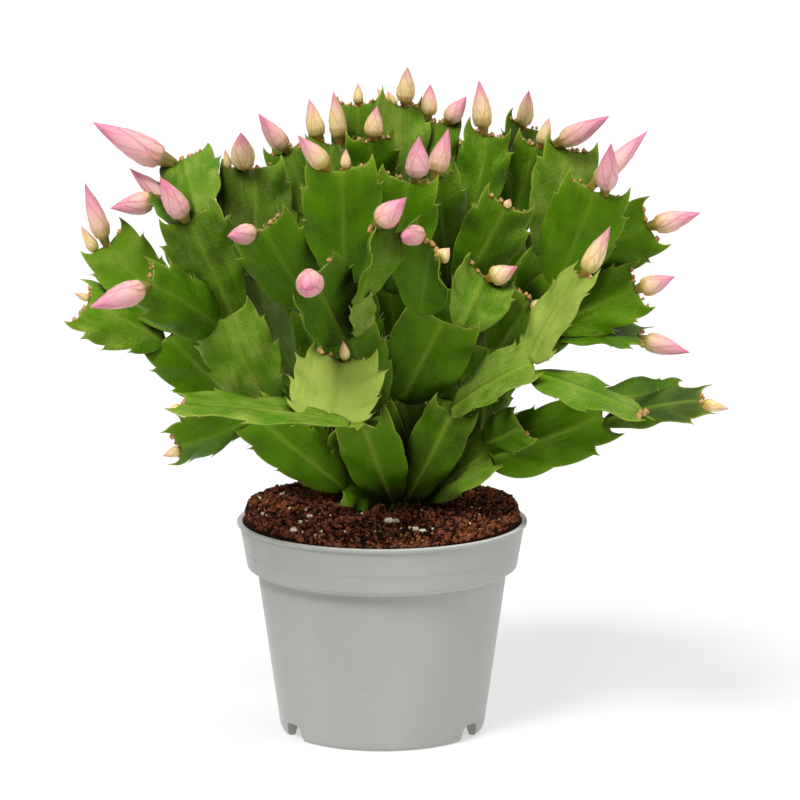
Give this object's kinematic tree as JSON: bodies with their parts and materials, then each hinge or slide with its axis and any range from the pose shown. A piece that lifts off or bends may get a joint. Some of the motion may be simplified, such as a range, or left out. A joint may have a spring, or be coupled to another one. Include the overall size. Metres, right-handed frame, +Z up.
{
  "type": "potted christmas cactus",
  "caption": "Bushy Christmas cactus of flat toothed stem pads with closed pink buds at their tips, standing in soil in a tapered plastic nursery pot.",
  "frame": {"origin": "centre of the pot's underside, on the surface that the pot stands on", "axes": "+Z up along the pot's axis; the pictured front faces -Y; +X is to the viewer's right"},
  "size_m": [0.2694, 0.2164, 0.273],
  "materials": {
    "pot": "smooth grey moulded plastic, slightly satin",
    "soil": null,
    "pads": "waxy green succulent skin with a soft sheen",
    "buds": "satin petals, pink at the point and pale yellow green at the foot"
  },
  "bodies": {
    "root": {"bud_01": "buds", "bud_02": "buds", "bud_03": "buds", "bud_04": "buds", "bud_05": "buds", "bud_06": "buds", "bud_07": "buds", "bud_08": "buds", "bud_09": "buds", "bud_10": "buds", "bud_11": "buds", "bud_12": "buds", "bud_13": "buds", "bud_14": "buds", "bud_15": "buds", "bud_16": "buds", "bud_17": "buds", "bud_18": "buds", "bud_19": "buds", "bud_20": "buds", "bud_21": "buds", "bud_22": "buds", "bud_23": "buds", "bud_24": "buds", "bud_25": "buds", "bud_26": "buds", "bud_27": "buds", "bud_28": "buds", "bud_29": "buds", "bud_30": "buds", "bud_31": "buds", "pot": "pot", "soil": "soil", "stem_back": "pads", "stem_back_left": "pads", "stem_back_left_low": "pads", "stem_back_low": "pads", "stem_back_right": "pads", "stem_centre": "pads", "stem_crown": "pads", "stem_crown_left": "pads", "stem_crown_right": "pads", "stem_far_left": "pads", "stem_front": "pads", "stem_front_high": "pads", "stem_front_right": "pads", "stem_left": "pads", "stem_left_high": "pads", "stem_low_left": "pads", "stem_low_right": "pads", "stem_right": "pads", "stem_right_high": "pads", "stem_right_long": "pads"}
  },
  "joints": []
}
